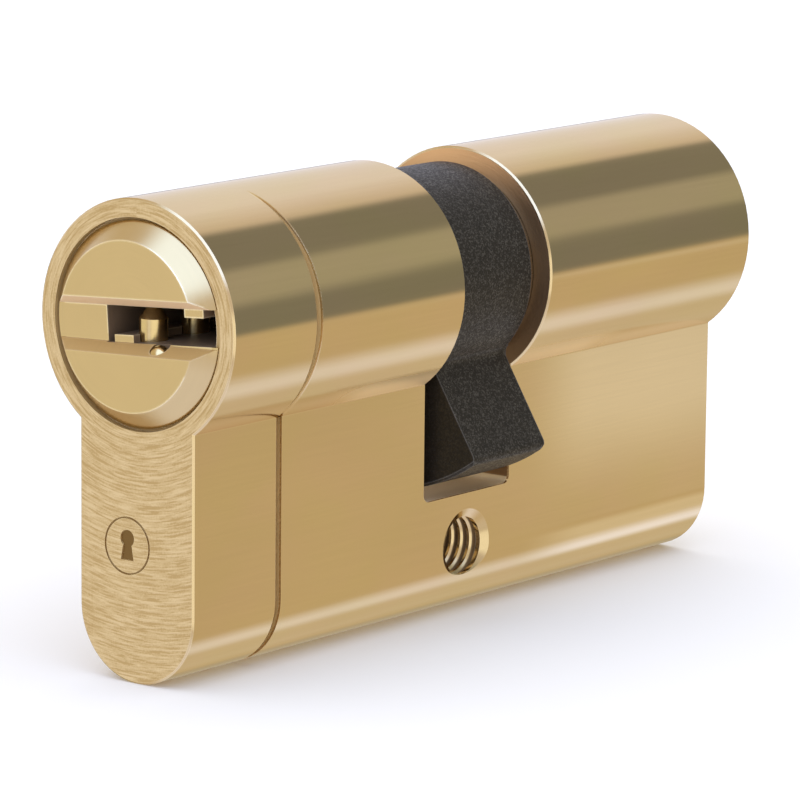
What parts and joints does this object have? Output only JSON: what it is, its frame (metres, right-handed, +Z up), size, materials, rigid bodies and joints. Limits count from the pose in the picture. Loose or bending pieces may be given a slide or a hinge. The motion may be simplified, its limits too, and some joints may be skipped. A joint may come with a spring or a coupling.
{
  "type": "door lock cylinder",
  "caption": "Euro-profile double-entry lock cylinder: a dimple-key plug at each end turns the central cam through a sliding coupler, and a cross hole takes the fixing screw.",
  "frame": {"origin": "on the plug axis, midway between the two end faces of the housing", "axes": "+Y along the plug axis, away from the front face that carries the snap line; +Z up, towards the round head; +X to the right when looking at the front face"},
  "size_m": [0.0172, 0.0622, 0.033],
  "materials": {
    "housing_brass": "satin machined, end faces turned in fine rings",
    "plug_brass": "satin turned",
    "cap_brass": "satin machined",
    "pin_brass": "bright turned",
    "cam_steel": "black sintered steel with fine pores",
    "bright_steel": "ground",
    "spring_steel": "drawn wire and blued strip"
  },
  "bodies": {
    "housing": {"housing": "housing_brass", "front_housing_guard_pins": "bright_steel", "front_chamber_caps": "cap_brass", "rear_housing_guard_pins": "bright_steel", "rear_chamber_caps": "cap_brass", "front_driver_spring_1": "spring_steel", "front_driver_spring_2": "spring_steel", "front_driver_spring_3": "spring_steel", "front_driver_spring_4": "spring_steel", "front_driver_spring_5": "spring_steel", "rear_driver_spring_1": "spring_steel", "rear_driver_spring_2": "spring_steel", "rear_driver_spring_3": "spring_steel", "rear_driver_spring_4": "spring_steel", "rear_driver_spring_5": "spring_steel"},
    "cam": {"cam": "cam_steel"},
    "coupler": {"coupler": "bright_steel"},
    "front_plug": {"front_plug": "plug_brass", "front_retaining_clip": "spring_steel", "front_face_guard_pin": "pin_brass"},
    "rear_plug": {"rear_plug": "plug_brass", "rear_retaining_clip": "spring_steel", "rear_face_guard_pin": "pin_brass"},
    "front_key_pin_1": {"front_key_pin_1": "pin_brass"},
    "front_key_pin_2": {"front_key_pin_2": "pin_brass"},
    "front_key_pin_3": {"front_key_pin_3": "pin_brass"},
    "front_key_pin_4": {"front_key_pin_4": "pin_brass"},
    "front_key_pin_5": {"front_key_pin_5": "pin_brass"},
    "front_driver_pin_1": {"front_driver_pin_1": "bright_steel"},
    "front_driver_pin_2": {"front_driver_pin_2": "bright_steel"},
    "front_driver_pin_3": {"front_driver_pin_3": "bright_steel"},
    "front_driver_pin_4": {"front_driver_pin_4": "bright_steel"},
    "front_driver_pin_5": {"front_driver_pin_5": "bright_steel"},
    "rear_key_pin_1": {"rear_key_pin_1": "pin_brass"},
    "rear_key_pin_2": {"rear_key_pin_2": "pin_brass"},
    "rear_key_pin_3": {"rear_key_pin_3": "pin_brass"},
    "rear_key_pin_4": {"rear_key_pin_4": "pin_brass"},
    "rear_key_pin_5": {"rear_key_pin_5": "pin_brass"},
    "rear_driver_pin_1": {"rear_driver_pin_1": "bright_steel"},
    "rear_driver_pin_2": {"rear_driver_pin_2": "bright_steel"},
    "rear_driver_pin_3": {"rear_driver_pin_3": "bright_steel"},
    "rear_driver_pin_4": {"rear_driver_pin_4": "bright_steel"},
    "rear_driver_pin_5": {"rear_driver_pin_5": "bright_steel"}
  },
  "joints": [
    {"name": "front_plug_turn", "type": "hinge", "parent": "housing", "child": "front_plug", "pos_m": [0, -0.0175, 0], "axis": [0, 1, 0], "continuous": true},
    {"name": "rear_plug_turn", "type": "hinge", "parent": "housing", "child": "rear_plug", "pos_m": [0, 0.0175, 0], "axis": [0, 1, 0], "continuous": true},
    {"name": "cam_turn", "type": "hinge", "parent": "housing", "child": "cam", "pos_m": [0, 0, 0], "axis": [0, 1, 0], "continuous": true},
    {"name": "coupler_shift", "type": "slide", "parent": "cam", "child": "coupler", "axis": [0, 1, 0], "range_m": [0, 0.0022]},
    {"name": "front_key_pin_1_lift", "type": "slide", "parent": "front_plug", "child": "front_key_pin_1", "axis": [0, 0, 1], "range_m": [-0.0009, 0], "stiffness_N_per_m": 20, "springref_m": 0.0002},
    {"name": "front_key_pin_2_lift", "type": "slide", "parent": "front_plug", "child": "front_key_pin_2", "axis": [0, 0, 1], "range_m": [-0.0015, 0], "stiffness_N_per_m": 20, "springref_m": 0.0002},
    {"name": "front_key_pin_3_lift", "type": "slide", "parent": "front_plug", "child": "front_key_pin_3", "axis": [0, 0, 1], "range_m": [-0.0006, 0], "stiffness_N_per_m": 20, "springref_m": 0.0002},
    {"name": "front_key_pin_4_lift", "type": "slide", "parent": "front_plug", "child": "front_key_pin_4", "axis": [0, 0, 1], "range_m": [-0.0012, 0], "stiffness_N_per_m": 20, "springref_m": 0.0002},
    {"name": "front_key_pin_5_lift", "type": "slide", "parent": "front_plug", "child": "front_key_pin_5", "axis": [0, 0, 1], "range_m": [-0.0004, 0], "stiffness_N_per_m": 20, "springref_m": 0.0002},
    {"name": "front_driver_pin_1_push", "type": "slide", "parent": "housing", "child": "front_driver_pin_1", "axis": [0, 0, 1], "range_m": [-0.0016, 0], "stiffness_N_per_m": 60, "springref_m": 0.001, "deforming": ["front_driver_spring_1"]},
    {"name": "front_driver_pin_2_push", "type": "slide", "parent": "housing", "child": "front_driver_pin_2", "axis": [0, 0, 1], "range_m": [-0.0016, 0], "stiffness_N_per_m": 60, "springref_m": 0.001, "deforming": ["front_driver_spring_2"]},
    {"name": "front_driver_pin_3_push", "type": "slide", "parent": "housing", "child": "front_driver_pin_3", "axis": [0, 0, 1], "range_m": [-0.0016, 0], "stiffness_N_per_m": 60, "springref_m": 0.001, "deforming": ["front_driver_spring_3"]},
    {"name": "front_driver_pin_4_push", "type": "slide", "parent": "housing", "child": "front_driver_pin_4", "axis": [0, 0, 1], "range_m": [-0.0016, 0], "stiffness_N_per_m": 60, "springref_m": 0.001, "deforming": ["front_driver_spring_4"]},
    {"name": "front_driver_pin_5_push", "type": "slide", "parent": "housing", "child": "front_driver_pin_5", "axis": [0, 0, 1], "range_m": [-0.0016, 0], "stiffness_N_per_m": 60, "springref_m": 0.001, "deforming": ["front_driver_spring_5"]},
    {"name": "rear_key_pin_1_lift", "type": "slide", "parent": "rear_plug", "child": "rear_key_pin_1", "axis": [0, 0, 1], "range_m": [-0.0009, 0], "stiffness_N_per_m": 20, "springref_m": 0.0002},
    {"name": "rear_key_pin_2_lift", "type": "slide", "parent": "rear_plug", "child": "rear_key_pin_2", "axis": [0, 0, 1], "range_m": [-0.0015, 0], "stiffness_N_per_m": 20, "springref_m": 0.0002},
    {"name": "rear_key_pin_3_lift", "type": "slide", "parent": "rear_plug", "child": "rear_key_pin_3", "axis": [0, 0, 1], "range_m": [-0.0006, 0], "stiffness_N_per_m": 20, "springref_m": 0.0002},
    {"name": "rear_key_pin_4_lift", "type": "slide", "parent": "rear_plug", "child": "rear_key_pin_4", "axis": [0, 0, 1], "range_m": [-0.0012, 0], "stiffness_N_per_m": 20, "springref_m": 0.0002},
    {"name": "rear_key_pin_5_lift", "type": "slide", "parent": "rear_plug", "child": "rear_key_pin_5", "axis": [0, 0, 1], "range_m": [-0.0004, 0], "stiffness_N_per_m": 20, "springref_m": 0.0002},
    {"name": "rear_driver_pin_1_push", "type": "slide", "parent": "housing", "child": "rear_driver_pin_1", "axis": [0, 0, 1], "range_m": [-0.0016, 0], "stiffness_N_per_m": 60, "springref_m": 0.001, "deforming": ["rear_driver_spring_1"]},
    {"name": "rear_driver_pin_2_push", "type": "slide", "parent": "housing", "child": "rear_driver_pin_2", "axis": [0, 0, 1], "range_m": [-0.0016, 0], "stiffness_N_per_m": 60, "springref_m": 0.001, "deforming": ["rear_driver_spring_2"]},
    {"name": "rear_driver_pin_3_push", "type": "slide", "parent": "housing", "child": "rear_driver_pin_3", "axis": [0, 0, 1], "range_m": [-0.0016, 0], "stiffness_N_per_m": 60, "springref_m": 0.001, "deforming": ["rear_driver_spring_3"]},
    {"name": "rear_driver_pin_4_push", "type": "slide", "parent": "housing", "child": "rear_driver_pin_4", "axis": [0, 0, 1], "range_m": [-0.0016, 0], "stiffness_N_per_m": 60, "springref_m": 0.001, "deforming": ["rear_driver_spring_4"]},
    {"name": "rear_driver_pin_5_push", "type": "slide", "parent": "housing", "child": "rear_driver_pin_5", "axis": [0, 0, 1], "range_m": [-0.0016, 0], "stiffness_N_per_m": 60, "springref_m": 0.001, "deforming": ["rear_driver_spring_5"]}
  ],
  "couplings": [
    {"joint": "cam_turn", "follows": "front_plug_turn", "ratio": 1}
  ]
}
